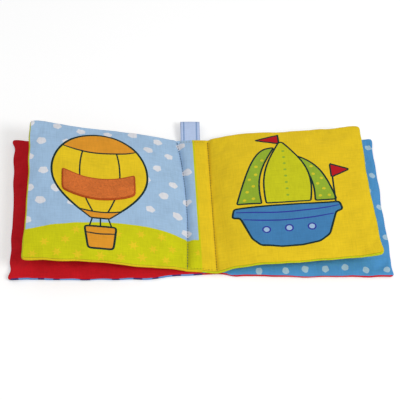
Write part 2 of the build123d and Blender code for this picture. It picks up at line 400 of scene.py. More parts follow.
class Leaf:
    def __init__(self, side, reach, half, waists, ear, lean, dip, insets, notch, wave, seed, runs, bend=(0,)):
        """side: -1 left, 1 right. reach, half: from fold to fore edge, and from middle to near or far edge.

        waists: how much is missing beside the fold at the near and the far edge.
        ear: how far corners stick out. wave: how unevenly the outline is cut.
        lean, dip: how far the fore edge leans, and curves in halfway.
        insets: how far the rim stands out at the near, the fore and the far edge.
        notch: how deep the fore edge is drawn in beside the near and the far corner.
        runs: how far out of true the near and the far edge run, at distances from the book's middle.
        bend: the fold's own curve, as a polynomial of its share from the near to the far end."""
        self.side, self.reach, self.half, self.waists = side, reach, half, waists
        self.ear, self.lean, self.dip, self.bend = ear, lean, dip, bend
        rng = random.Random(seed)
        along = np.linspace(-FOLD_X / reach, 1, 170)
        share = np.concatenate([along, np.ones(148), along[::-1]])
        row = np.concatenate([-np.ones(170), np.linspace(-1, 1, 150)[1:-1], np.ones(170)])
        fold = np.maximum(share, 0)
        x = FOLD_X + share * reach
        deep = half - np.where(row < 0, *waists) * (1 - ease(fold / WAIST_SHARE))
        deep += ear * ease((fold - 0.9) / 0.1)
        y = row * (deep + np.where(row < 0, *(np.interp(x, *run) for run in runs)))
        from_corner = (1 - np.abs(row)) * half
        bite = np.exp(-(((from_corner - 10) / 5) ** 2)) - 0.5 * np.exp(-((from_corner / 5) ** 2))
        x -= (np.abs(row) < 1) * (dip * (1 - row * row) + np.where(row < 0, *notch) * bite)
        x -= fold * lean * row / 2
        outer = resampled(np.column_stack([x, y]), OUTLINE_STEP)
        stands = np.select([row == -1, row == 1], [insets[0], insets[2]], insets[1])
        inset = np.interp(np.linspace(0, len(row) - 1, len(outer)), np.arange(len(row)), stands)
        for _ in range(20):
            inset[1:-1] = (inset[:-2] + 2 * inset[1:-1] + inset[2:]) / 4
        outer = softened(outer, 9 if ear else 20)
        waves = [(rng.uniform(22, 65), rng.uniform(0, 6.3), rng.uniform(0.4, 1)) for _ in range(6)]
        s = np.arange(len(outer)) * OUTLINE_STEP
        sway = sum(size * np.sin(2 * math.pi * s / length + turn) for length, turn, size in waves)
        calm = ease((outer[:, 0] - FOLD_X) / 25)
        outward = normals(outer)
        outer = outer + outward * (sway * wave / 2.5 * calm)[:, None]
        outward = normals(outer)
        outward[0], outward[-1] = (0, -1), (0, 1)
        self.sewn = outer - outward * inset[:, None]
        self.outward, self.inset = outward, inset
        wall = resampled([self.sewn[-1], self.sewn[0]], 1.5)[1:-1]
        self.border = np.vstack([self.sewn, wall])
        self.rng = rng
        self.creases = []

    def fold_line(self, y):
        """Distance of the fold's stitch line from the middle of the book."""
        return FOLD_X - STITCH_INSET + self.moved(y)

    def moved(self, y):
        """How much further from the middle than the hinge the fold runs."""
        return np.polyval(self.bend, np.clip(0.5 + y / PAGE_DEPTH, 0, 1))

    def place(self, p):
        """Distance from the middle of the book, share of the reach and row of points in plan."""
        x, y = (p * (self.side, 1)).T
        row = y / self.half
        waist = np.where(y < 0, *self.waists)
        for _ in range(4):
            moved = self.moved(y)
            share = np.clip((x - FOLD_X - moved) / (self.reach - moved - self.lean * row / 2), 0, 1)
            half = self.half - waist * (1 - ease(share / WAIST_SHARE)) + self.ear * ease((share - 0.9) / 0.1)
            row = np.clip(y / half, -1, 1)
        return x, share, row

    def padding(self, share, row):
        """How full the pad is beside the near and far edges, and beside the fore edge."""
        fore = (1 - share) * self.reach - self.dip * (1 - row * row)
        return swell((1 - np.abs(row)) * self.half, PAD_RUN), swell(fore, PAD_RUN)

    def edge_distance(self, p):
        """Distance from the sewn edges, those of the wall at the book's middle left out."""
        flat = p * (self.side, 1)
        best = np.full(len(p), 1e9)
        for start in range(0, len(self.sewn) - 1, 60):
            a = self.sewn[start : start + 61]
            b, a = a[1:], a[:-1]
            d = b - a
            t = np.clip(((flat[:, None] - a) * d).sum(2) / (d * d).sum(1), 0, 1)
            gap = np.linalg.norm(flat[:, None] - a - t[..., None] * d, axis=2)
            best = np.minimum(best, gap.min(1))
        return best

    def pucker(self, amplitude, spacing, length, width, fold_amplitude):
        """Sewn-in gathers: short ridges and hollows that start at the seams and run into the cloth."""
        rng = self.rng
        s = rng.uniform(0, spacing)
        while s < len(self.sewn) * OUTLINE_STEP - 1:
            i = min(int(s / OUTLINE_STEP), len(self.sewn) - 1)
            turn = rng.uniform(-0.45, 0.45)
            inward = -self.outward[i]
            c, d = math.cos(turn), math.sin(turn)
            way = np.array([inward[0] * c - inward[1] * d, inward[0] * d + inward[1] * c])
            calm = float(ease((self.sewn[i][0] - FOLD_X - 1) / 8))
            size = amplitude * rng.uniform(0.3, 1) * rng.choice((-1, 1, -1)) * calm
            self.creases.append((self.sewn[i], way, rng.uniform(*length), rng.uniform(*width), size))
            s += spacing * rng.uniform(0.5, 1.6)
        y = -self.half + 6
        while y < self.half - 6:
            for way in (1, -1):
                lean = rng.uniform(-0.5, 0.5)
                reach = rng.uniform(5, 16) if way > 0 else rng.uniform(3, 7)
                start = np.array([float(self.fold_line(y)) + way * 0.9, y + rng.uniform(-2, 2)])
                size = fold_amplitude * rng.uniform(0.3, 1) * rng.choice((-1, 1))
                heading = np.array([way * math.cos(lean), math.sin(lean)])
                self.creases.append((start, heading, reach, rng.uniform(1.2, 2.6), size))
            y += spacing * rng.uniform(0.5, 1.3)

    def creased(self, p):
        """Height that the creases add at points in plan."""
        flat = p * (self.side, 1)
        z = np.zeros(len(p))
        for start, way, length, width, size in self.creases:
            off = flat - start
            along = off @ way
            near = (along > -2) & (along < length)
            if not near.any():
                continue
            across = off[near] @ np.array([-way[1], way[0]])
            t = np.clip(along[near] / length, 0, 1)
            spread = width * (1 + 0.8 * t)
            z[near] += size * np.exp(-((across / spread) ** 2)) * (1 - t) ** 2 * (1 + 1.2 * t)
        return z


class Page(Leaf):
    def __init__(self, side, reach, lean, lifts, insets, seed, runs, bend=(0,)):
        waists, dip, notch, wave = (2.8, 0.8), 2.1, (0.5, 0.5), 0.45
        super().__init__(side, reach, PAGE_HALF, waists, 0, lean, dip, insets, notch, wave, seed, runs, bend)
        self.lifts = lifts
        self.pucker(0.25, 6.5, (7, 26), (1.6, 3.4), 0.45)
        self.gathers = gathered(reach, PAGE_DEPTH, seed + 20, PAGE_GATHERS)

    def heights(self, p):
        """Heights of the upper and of the under cloth at points in plan."""
        d, share, row = self.place(p)
        far_lift, far, near_lift, near = self.lifts
        low = near_lift * through(share, STATIONS, near)
        rise = low + (far_lift * through(share, STATIONS, far) - low) * (1 + row) / 2
        edge = self.edge_distance(p)
        sides, fore = self.padding(share, row)
        line = self.fold_line(p[:, 1])
        past = d - line - 0.4
        full = sides * fore * swell(past, PAD_RUN) * crisp(past, 6) ** 0.5 * crisp(edge, 4)
        ends = swell((1 - np.abs(row)) * self.half, 9)
        crown = ends * crisp(line - 0.4 - d, 8) * crisp(edge, 4)
        # The left crease is pulled down the deeper, and shades the gutter beside it
        deep, wide = (1.9, 3.0) if self.side < 0 else (1.0, 1.3)
        groove = deep * np.exp(-(((d - line) / np.where(d < line, wide, 1.0)) ** 2)) * ease(edge / 3)
        calm = ease(np.abs(d - line) / 2) * 0.75 + 0.25
        slow = ease((d - FOLD_X) / 18) * ease(edge / 12)
        top = FOLD_Z + rise + PAGE_SWELL_UP * full + GUTTER_CROWN * crown - groove
        creased = self.creased(p)
        upper, under = (sampled(grid, share, (row + 1) / 2) * ease((d - line) / 3) for grid in self.gathers)
        top += (creased + upper) * calm + self.slow_waves(p, 0.26) * slow
        low = PAGE_SEAM_LOW + rise - PAGE_SWELL_DOWN * full + (creased + under) * ease((d - 40) / 30) * 0.5
        return top, low

    def slow_waves(self, p, size):
        """Height of the broad, shallow waves in which a limp page lies."""
        x, y = (p * (self.side, 1)).T
        rng = random.Random(11 + self.side)
        z = np.zeros(len(p))
        for _ in range(9):
            a, length, turn = rng.uniform(0, 3.14), rng.uniform(28, 90), rng.uniform(0, 6.3)
            wave = np.sin(2 * math.pi * (x * math.cos(a) + y * math.sin(a)) / length + turn)
            z += size * rng.uniform(0.3, 1) * wave * length / 90
        return z


class Cover(Leaf):
    def __init__(self, side, reach, dip, insets, notch, seed, runs):
        waists, ear, wave = (4.5, 4.5), 1.0, 0.55
        super().__init__(side, reach, COVER_HALF, waists, ear, 0, dip, insets, notch, wave, seed, runs)
        self.pucker(0.3, 7.5, (8, 28), (1.8, 3.8), 0.1)
        self.gathers = gathered(COVER_DEPTH, COVER_DEPTH, seed + 20, COVER_GATHERS)

    def heights(self, p):
        d, share, row = self.place(p)
        edge = self.edge_distance(p)
        sides, fore = self.padding(share, row)
        full = sides * fore * ease(share * self.reach / 46) * crisp(edge, 4)
        across = swell(FOLD_X - 0.3 - d, FOLD_X) * sides
        upper, _ = (sampled(grid, share, (row + 1) / 2) for grid in self.gathers)
        creased = (self.creased(p) + upper) * ease((d - 55) / 40)
        top = COVER_SEAM_TOP + COVER_SWELL * full + creased
        low = SEAM_LIFT * (1 - np.maximum(full, across)) - 0.5 * np.maximum(full, across)
        low = np.maximum(low + 0.6 * np.abs(creased) * (1 - ease(edge / 12)), 0.05)
        return top, low


# Meshes


def make_mesh(name, points, faces, colours, cloth, material, sharp_wall=False):
    """Object of these points in millimetres, with a colour for each face and flat cloth places."""
    mesh = bpy.data.meshes.new(name)
    mesh.from_pydata((np.array(points) * MM).tolist(), [], faces)
    mesh.update()
    counts = [len(face) for face in faces]
    shades = np.column_stack([np.repeat(np.array(colours), counts, axis=0), np.ones(sum(counts))])
    mesh.color_attributes.new("print", "FLOAT_COLOR", "CORNER").data.foreach_set("color", shades.ravel())
    flat = (np.array(cloth) * MM).ravel()
    mesh.attributes.new("cloth", "FLOAT_VECTOR", "POINT").data.foreach_set("vector", flat)
    mesh.polygons.foreach_set("use_smooth", [True] * len(faces))
    if sharp_wall:
        at_wall = np.abs(np.array(points)[:, 0]) < 1e-4
        ends = np.empty(2 * len(mesh.edges), int)
        mesh.edges.foreach_get("vertices", ends)
        sharp = at_wall[ends].reshape(-1, 2).all(1)
        mesh.attributes.new("sharp_edge", "BOOLEAN", "EDGE").data.foreach_set("value", sharp)
    mesh.materials.append(material)
    return placed(name, mesh)


def cut_sheet(border, shapes, ground, columns, bands, from_edge):
    """Triangles of a flat sheet inside border, cut along its printed shapes, with a colour each.

    The last shape that covers a triangle gives its colour, as inks printed over each other do.
    bands are rows of points that run along the edge, where the cloth curves most."""
    loops = [anticlockwise(loop) for loop in [border] + [loop for loop, _ in shapes]]
    fixed = np.vstack(loops)
    low, high = np.array(border).min(0), np.array(border).max(0)
    ys = np.arange(low[1] + 0.4, high[1], STEP)
    grid = np.array([(x, y) for x in columns for y in ys if low[0] < x < high[0]])
    grid = np.vstack([grid[from_edge(grid) > BANDS[-1] + 0.7], bands])
    keep = np.ones(len(grid), bool)
    for start in range(0, len(grid), 800):
        part = grid[start : start + 800]
        gap = ((part[:, None] - fixed[None]) ** 2).sum(2).min(1)
        keep[start : start + 800] = gap > 0.38**2
    faces = []
    at = 0
    for loop in loops:
        faces.append(list(range(at, at + len(loop))))
        at += len(loop)
    points = np.vstack([fixed, grid[keep]])
    verts, _, tris, _, _, inside = delaunay_2d_cdt([Vector(p) for p in points], [], faces, 1, 1e-5)
    kept = [(list(tri), max(which)) for tri, which in zip(tris, inside) if 0 in which]
    used = sorted({v for tri, _ in kept for v in tri})
    new = {v: i for i, v in enumerate(used)}
    flat = np.array([verts[v] for v in used])
    inks = [linear(ground)] + [linear(ink) for _, ink in shapes]
    triangles = []
    for tri, _ in kept:
        a, b, c = (flat[new[v]] for v in tri)
        up = (b[0] - a[0]) * (c[1] - a[1]) - (b[1] - a[1]) * (c[0] - a[0]) > 0
        triangles.append([new[v] for v in (tri if up else tri[::-1])])
    return flat, triangles, [inks[which] for _, which in kept]


def open_loop(triangles):
    """The sheet's border points in order."""
    edges = {(t[i], t[(i + 1) % 3]) for t in triangles for i in range(3)}
    follows = {a: b for a, b in edges if (b, a) not in edges}
    start = min(follows)
    loop = [start]
    while follows[loop[-1]] != start:
        loop.append(follows[loop[-1]])
    return loop


def make_leaf(name, leaf, shapes, ground, under_shapes, under_ground, rim_colour):
    """Closed mesh of a padded leaf: its printed upper cloth, its under cloth and the rim that joins them."""
    # Columns of points lie closer beside the crease
    crease = leaf.fold_line(np.linspace(-leaf.half, leaf.half, 50))
    start, end = crease.min() - 1.2, crease.max() + 3.2
    fine = np.arange(start, end, 0.4)
    columns = [np.arange(0.9, start - 0.5, 1.2), fine, np.arange(end + 0.9, 175, STEP)]
    columns = np.concatenate(columns) * leaf.side
    border = leaf.border * (leaf.side, 1)
    bands = np.vstack([(leaf.sewn - leaf.outward * depth)[2:-2] for depth in BANDS])
    bands = bands[leaf.edge_distance(bands * (leaf.side, 1)) > 0.4] * (leaf.side, 1)
    flat, triangles, colours = cut_sheet(border, shapes, ground, columns, bands, leaf.edge_distance)
    loop = open_loop(triangles)
    rim = flat[loop]
    beside = {(t[i], t[(i + 1) % 3]): ink for t, ink in zip(triangles, colours) for i in range(3)}
    under_cut = cut_sheet(rim, under_shapes, under_ground, columns, bands, leaf.edge_distance)
    under_flat, under_triangles, under_colours = under_cut
    under_loop = open_loop(under_triangles)
    shift = int(np.argmin(np.linalg.norm(under_flat[under_loop] - rim[0], axis=1)))
    under_loop = under_loop[shift:] + under_loop[:shift]
    if len(loop) != len(under_loop):
        raise ValueError(f"{name}: the borders of its two cloths differ")
    top, _ = leaf.heights(flat)
    _, low = leaf.heights(under_flat)
    points = [np.column_stack([flat, top]), np.column_stack([under_flat, low])]
    cloth = [np.column_stack([flat, 0 * top]), np.column_stack([under_flat, 0 * low - 50])]
    faces = triangles + [[len(flat) + v for v in tri[::-1]] for tri in under_triangles]
    colours = colours + under_colours

    # The rim stands out beyond the sewn edge, and is nothing at the wall in the middle of the book
    near = np.array([np.argmin(np.linalg.norm(leaf.sewn - p * (leaf.side, 1), axis=1)) for p in rim])
    inner = (rim[:, 1] > leaf.sewn[0, 1] + 1e-3) & (rim[:, 1] < leaf.sewn[-1, 1] - 1e-3)
    wall = (np.abs(rim[:, 0]) < 1e-3) & inner
    out = np.where(wall[:, None], 0, leaf.outward[near]) * (leaf.side, 1)
    reach = np.where(wall, 0, leaf.inset[near])
    top_rim, low_rim = top[loop], low[under_loop]
    middle, half = (top_rim + low_rim) / 2, (top_rim - low_rim) / 2
    before = list(loop)
    total = len(flat) + len(under_flat)
    for k, angle in enumerate(RIM_ANGLES):
        if angle == 180:
            after = [len(flat) + v for v in under_loop]
        else:
            a = math.radians(angle)
            bulge = math.sin(a) ** 0.7 * (0.85 + 0.3 * a / math.pi)
            # The first ring is pulled down a little by the seam
            dent = 0.14 if k == 0 else 0
            z = middle + half * (math.cos(a) - dent)
            points.append(np.column_stack([rim + out * (reach * bulge)[:, None], z]))
            cloth.append(np.column_stack([rim + out * (k * 0.5), 0 * middle]))
            after = list(range(total, total + len(rim)))
            total += len(rim)
        for i in range(len(rim)):
            j = (i + 1) % len(rim)
            faces.append([before[i], after[i], after[j], before[j]])
            ink = linear(rim_colour(rim[i], leaf.outward[near[i]], k))
            # Where the upper cloth itself turns round the edge, its print goes on over it
            colours.append(beside[loop[i], loop[j]] if ink == linear(ground) else ink)
        before = after
    return make_mesh(name, np.vstack(points), faces, colours, np.vstack(cloth), cotton, True)


# Materials


def add(tree, kind, values=None, links=None, **settings):
    """Adds a shader node with its settings, its sockets' values and its links."""
    node = tree.nodes.new("ShaderNode" + kind)
    for setting, value in settings.items():
        setattr(node, setting, value)
    for socket, value in (values or {}).items():
        node.inputs[socket].default_value = value
    for socket, source in (links or {}).items():
        tree.links.new(source, node.inputs[socket])
    return node


def cloth_material(name, depth, streak, roughness, sheen, pitch=None):
    """Cloth in the colours of its print: woven where it has a pitch in millimetres, otherwise napped.

    depth is how far threads or fibres stand up, in millimetres, and streak how unevenly the cloth is dyed."""
    material = bpy.data.materials.new(name)
    tree = emptied(material)
    dye = add(tree, "Attribute", attribute_name="print")
    flat = add(tree, "Attribute", attribute_name="cloth").outputs["Vector"]
    if pitch:
        # Slubs: threads that took the dye a little more or less, about 11 mm long and 1.1 mm wide
        slubs = []
        for per_metre in ((90, 900, 1), (900, 90, 1)):
            stretched = add(tree, "VectorMath", {1: per_metre}, {0: flat}, operation="MULTIPLY")
            slubs.append(add(tree, "TexNoise", {"Scale": 1, "Detail": 3}, {"Vector": stretched.outputs[0]}))
        first, second = slubs
        # Plain weave, drawn about three times as coarse as the real cloth so that it shows close up
        scale = 2 * math.pi / 20 / (pitch * MM)
        warp = add(tree, "TexWave", {"Scale": scale}, {"Vector": flat}, bands_direction="X")
        weft = add(tree, "TexWave", {"Scale": scale}, {"Vector": flat}, bands_direction="Y")
        sources = {0: warp.outputs["Fac"], 1: weft.outputs["Fac"]}
        height = add(tree, "Math", {}, sources, operation="MAXIMUM")
    else:
        # Nap: matted fibres about 1.1 mm apart, in clumps of 3.3 mm
        first = add(tree, "TexNoise", {"Scale": 900, "Detail": 6, "Roughness": 0.75}, {"Vector": flat})
        second = add(tree, "TexNoise", {"Scale": 300, "Detail": 5, "Distortion": 1.5}, {"Vector": flat})
    both = add(tree, "Math", {}, {0: first.outputs["Fac"], 1: second.outputs["Fac"]}, operation="ADD")
    if not pitch:
        height = both
    # Broad unevenness of a washed print, in patches of about 22 mm
    worn = add(tree, "TexNoise", {"Scale": 45, "Detail": 4}, {"Vector": flat})
    three = add(tree, "Math", {}, {0: both.outputs[0], 1: worn.outputs["Fac"]}, operation="ADD")
    span = {"From Min": 0.9, "From Max": 2.1, "To Min": 1 - streak, "To Max": 1 + streak}
    level = add(tree, "MapRange", span, {"Value": three.outputs[0]})
    dyed = {0: dye.outputs["Color"], "Scale": level.outputs[0]}
    shade = add(tree, "VectorMath", {}, dyed, operation="SCALE")
    bump = add(tree, "Bump", {"Strength": 1, "Distance": depth * MM}, {"Height": height.outputs[0]})
    surface = add(
        tree,
        "BsdfPrincipled",
        {"Roughness": roughness, "Sheen Weight": sheen, "Sheen Roughness": 0.5, "Specular IOR Level": 0.12},
        {"Base Color": shade.outputs[0], "Normal": bump.outputs[0]},
    )
    add(tree, "OutputMaterial", {}, {"Surface": surface.outputs[0]})
    return material


# Printed cotton: matt, with a fine weave and slightly uneven ink, so that wide fields aren't dead flat
cotton = cloth_material("printed cotton plain weave", 0.06, 0.15, 0.9, 0.03, 0.7)
# Felt: napped wool, with matted fibres that break up the light on it
nap = cloth_material("burnt orange wool felt", 0.8, 0.42, 1.0, 0.04)
# Ribbon: closer and smoother weave than the cotton, with a slight satin light
satin = cloth_material("woven edge-striped ribbon", 0.05, 0.1, 0.6, 0.1, 0.55)
# Sewing thread: twisted polyester, a little shinier than the cloth that it pulls down
thread = cloth_material("twisted sewing thread", 0.03, 0.1, 0.6, 0.1, 0.5)


# Prints: a generic balloon in a spotted sky, a generic sailing boat, and dots


def sky_print():
    """Balloon in a spotted sky over a starred meadow."""
    rng = random.Random(4)

    def crest(x):
        hill_x = (-160, -151, -132, -110, -85, -61, -45, -27, -12, 2)
        hill_y = (-44.5, -42.4, -38.5, -35, -32.5, -31.8, -32.9, -35.7, -40.5, -41.5)
        return np.interp(x, hill_x, hill_y)

    def on_sky(x, y):
        return y > crest(x) + 5.5 and math.dist((x, y), (-88, 22)) > 37

    def on_meadow(x, y):
        by_basket = -100 < x < -76 and y > -60
        return -68 < y < crest(x) - 5 and not by_basket and abs(x + 14) > 7

    shapes = []
    for x, y in scattered(rng, (-151, -31), (4, 80), 23.5, 16.8, on_sky):
        shapes.append((puff(x, y, rng.uniform(7.5, 9.1), rng), CLOUD))
    x = np.linspace(-160, 3, 90)
    hill = np.vstack([softened(np.column_stack([x, crest(x)]), 30), [(3, -90), (-160, -90)]])
    shapes.append((hill, MEADOW))
    for x, y in scattered(rng, (-147, -66), (-2, -40), 19, 11.5, on_meadow):
        shapes.append((blossom(x, y, rng.uniform(9, 11), 6, rng.uniform(0, 1)), BLOSSOM))
    shapes += balloon(-88.5, 22.5)
    # Where the two prints meet, the lime selvedge of the yellow one shows as a thin line
    selvedge = [(-1.7, -90), (5, -90), (5, 90), (-1.7, 90)]
    shapes.append((resampled(selvedge, PRINT_STEP, True), MEADOW))
    return shapes


def balloon(cx, cy):
    """Balloon round a middle, with places up and down from there."""
    radius, drop, throat = 43.0, 51.0, 8.0
    crown_y, hem_y, inside = 26.5, -42, 0.7

    def half_width(y):
        if y >= 0:
            return math.sqrt(max(radius * radius - y * y, 0))
        t = -y / drop
        return radius * math.sqrt(1 - t * t) * (1 - t) + t * (throat + (radius - throat) * (1 - t**1.5))

    rise = [radius * math.sin(a) for a in np.linspace(math.pi / 2, 0, 30)]
    ys = rise + list(np.linspace(0, -drop, 40)[1:])
    right = [(cx + half_width(y), cy + y) for y in ys]
    left = [(cx - half_width(y), cy + y) for y in ys[::-1]]
    shapes = drawn(right + left[:-1], GOLD, 1.9)
    # Crown and skirt in orange, each between an arc and the edge
    angles = np.linspace(-0.88, 0.88, 30)
    top = [(cx + (radius - 1) * math.sin(a), cy + (radius - 1) * math.cos(a)) for a in angles]
    crown = top + sagging(cx, cy + crown_y, 31.5, 5, np.linspace(1, -1, 20)[1:-1])
    shapes.append((resampled(crown, PRINT_STEP, True), ORANGE))
    shapes.append((pen_line(sagging(cx, cy + crown_y, 32.5, 5, np.linspace(-1, 1, 20)), 1.5), INK))
    skirt = sagging(cx, cy + hem_y, half_width(hem_y) - inside, 2.5, np.linspace(-1, 1, 16))
    sides = [(half_width(y) - inside, cy + y) for y in np.linspace(hem_y - 1.5, inside - drop, 6)]
    cup = skirt + [(cx + x, y) for x, y in sides] + [(cx - x, y) for x, y in sides[::-1]]
    shapes.append((resampled(cup, PRINT_STEP, True), ORANGE))
    shapes.append((pen_line(skirt, 1.4, 1), INK))
    for part in (-0.42, 0.42):
        seam = [(cx + part * half_width(y), cy + y) for y in np.linspace(22.3, -43.9, 30)]
        shapes.append((pen_line(seam, 1.4, 1), INK))
    # Ropes and basket
    for part in (-1, 0, 1):
        shapes.append((pen_line([(cx + 7 * part, cy - drop), (cx + 10 * part, cy - drop - 10)], 1.4), INK))
    basket = [(cx - 14, cy - 60), (cx + 14, cy - 60), (cx + 11, cy - 83), (cx - 11, cy - 83)]
    shapes += drawn(basket, ORANGE, 1.9, 7)
    shapes.append((pen_line([(cx - 12.5, cy - 67), (cx, cy - 68.2), (cx + 12.5, cy - 67)], 1.4), INK))
    return shapes


def boat_print():
    """Three-sailed boat on a plain ground."""
    shapes = []
    # Three sails, the middle one lime and those beside it green, on the mast and above the deck
    mast, deck = 77.0, -9
    rise = np.linspace(0.05, 1, 24)
    main = [(mast - 17, deck), (mast + 23, deck)]
    main += bellied((mast + 23, deck), (mast + 3, 61), (10, 0), rise)
    main += bellied((mast - 17, deck), (mast, 61), (-7, 0), rise[::-1])
    jib = [(mast - 21, deck)]
    jib += bellied((mast - 21, deck), (mast - 5, 55), (-7, 0), np.linspace(0.03, 1, 20))
    jib += bellied((mast - 5, 55), (mast - 43, -7), (0, 19), np.linspace(0.04, 1, 24))
    aft = [(mast + 27, deck), (mast + 46, deck)]
    aft += bellied((mast + 46, deck), (mast + 11, 45), (5, 9), rise)
    aft += bellied((mast + 11, 45), (mast + 27, deck), (6, 0), np.linspace(0.05, 0.97, 20))
    for sail, fill in ((jib, GREEN), (aft, GREEN), (main, LIME)):
        shapes += drawn(sail, fill, 1.6)
    for t in np.linspace(0.08, 0.9, 8):
        shapes.append((ring(mast + 3, -6 + 62 * t, 2.8, 2.4, 12), GREEN))
    jib_dots = ((41, -4), (49, -3), (44, 5), (50, 11), (47, 19), (53, 24), (54, 33), (60, 40))
    aft_dots = ((109, -4), (117, -4), (113, 4), (108, 10), (112, 16), (105, 21), (104, 30))
    for x, y in jib_dots + aft_dots:
        shapes.append((ring(x, y, 3.2, 2.8, 12), SAIL_DOT))
    # Red pennants at the mast and at the stern
    for pole, pennant in (
        ([(122, -14), (122, 32)], [(121, 32), (121, 16), (138, 24)]),
        ([(mast, 60), (mast, 71)], [(mast, 70.5), (mast, 59.5), (mast - 22, 65)]),
    ):
        shapes.append((pen_line(pole, 1.6, 1), INK))
        shapes += drawn(pennant, RED, 1.6, 3)
    # Hull with two strakes and three portholes
    bow = [(125, -12), (127, -21), (121, -23), (113, -47), (104, -54), (88, -57)]
    stern = [(70, -57), (52, -54), (45, -47), (36, -23), (29, -21), (31, -12)]
    shapes += drawn(stern[-1:] + bow + stern[:-1], HULL, 1.8, 4)
    for y, inset in ((-16, 0), (-25, 5.5)):
        strake = bellied((33 + inset, y), (124 - inset, y), (0, -4), np.linspace(0, 1, 24))
        shapes.append((pen_line(strake, 1.4), HULL_INK))
    for x in (58, 78, 98):
        shapes.append((ring(x, -38, 8, 8, 18), HULL_INK))
        shapes.append((ring(x, -38, 5.2, 5.2, 16), SKY))
    return shapes


def dots(seed, low, high, pitch, keep, size, count, ink):
    """Print of uneven dots, where keep says so."""
    rng = random.Random(seed)
    places = scattered(rng, low, high, *pitch, keep)
    return [(ring(x, y, size, size, count, rng), ink) for x, y in places]


def clear_of_spine(x, y):
    return x > 32 or abs(y) < 62


def clear_of_edges(x, y):
    return x > -162 and abs(y) < 66


cover_dots = dots(8, (14, -71), (176, 82), (19, 17.5), clear_of_spine, 6.1, 20, COVER_DOT)
under_dots = dots(9, (-160, -72), (-4, 74), (24, 19), clear_of_edges, 7, 16, UNDER_DOT)


def turned_edges(near, fore, far, painted_ditch_shade, under=None, spots=None):
    """Colour of a rim's rings: which cloth turns round each edge, where the under cloth starts, and the
    painted shade of the seam's ditch in the first ring at the near edge.
    """
    rng = random.Random(12)
    places = [(at + rng.uniform(-6, 6), rng.uniform(2, 4.4)) for at in range(-240, 80, 21)]

    def colour(place, outward, number):
        if under and number >= 1 + 5 * min(max((outward[1] + 1) / 0.12, 0), 1):
            at = place[0] + place[1]
            return spots if spots and any(abs(at - a) < r for a, r in places) else under
        if outward[1] < -0.6:
            # Painted shade: at the near edge the first ring takes the dark colour of the seam's ditch
            return painted_ditch_shade if number == 0 else near
        return far if outward[1] > 0.7 else fore

    return colour


LEFT_LIFTS = (29.0, LEFT_FAR, 20.2, LEFT_NEAR)
RIGHT_LIFTS = (21.3, RIGHT_FAR, 24.7, RIGHT_NEAR)

# How far the near and the far edge of each leaf run out of true, at distances from the book's middle
TRUE_RUN = ((0, 168), (0, 0))
LEFT_RUNS = (
    ((0, 6, 13.5, 24, 40), (1.6, 1.2, 0.8, -0.6, -1.6)),
    ((0, 11, 15, 24), (2.6, 2.4, 1.5, 0.4)),
)
RIGHT_RUNS = (
    ((0, 6, 13.5, 18, 24, 36, 50), (1.6, 2.6, 3.4, 2.6, 0.3, -1.2, -1.6)),
    ((0, 11, 15, 24), (2.6, 2.4, 1.8, 1.0)),
)
FRONT_RUNS = (((0, 13.5, 30, 100, 130, 168), (1.2, 2.2, 1.2, 1.2, 0.8, 0)), TRUE_RUN)
BACK_RUNS = (((0, 13.5, 20, 28, 36, 50, 70, 110), (1.2, 0.6, 0.8, 1.8, -0.6, -0.8, -0.3, 0.6)), TRUE_RUN)
# The left crease swings in towards the gutter halfway, and out at its far end
LEFT_BEND = (6.2, 7.9, -11.5, 0.6)

left_leaf = Page(-1, 141.3, 4.5, LEFT_LIFTS, (1.5, 1.2, 0.7), 1, LEFT_RUNS, LEFT_BEND)
right_leaf = Page(1, 142.5, 3.0, RIGHT_LIFTS, (1.3, 0.9, 0.7), 2, RIGHT_RUNS)
front_leaf = Cover(-1, 155, 2.4, (1.5, 1.5, 1.5), (1.6, 1.6), 3, FRONT_RUNS)
back_leaf = Cover(1, 156, 0.5, (1.5, 1.5, 1.5), (0.9, 0.2), 4, BACK_RUNS)

left_rim = turned_edges(LEFT_HEM, LEFT_FORE, SKY, LEFT_DITCH_PAINTED_SHADE)
right_rim = turned_edges(RIGHT_HEM, RIGHT_FORE, YELLOW, RIGHT_DITCH_PAINTED_SHADE)
front_rim = turned_edges(*[COVER_RED] * 4, UNDER_BLUE, UNDER_DOT)
back_rim = turned_edges(*[COVER_BLUE] * 4, COVER_RED)
left_page = make_leaf("left_page_cloth", left_leaf, sky_print(), SKY, [], YELLOW, left_rim)
right_page = make_leaf("right_page_cloth", right_leaf, boat_print(), YELLOW, [], MEADOW, right_rim)
front_cover = make_leaf("front_cover_cloth", front_leaf, [], COVER_RED, under_dots, UNDER_BLUE, front_rim)
back_cover = make_leaf("back_cover_cloth", back_leaf, cover_dots, COVER_BLUE, [], COVER_RED, back_rim)


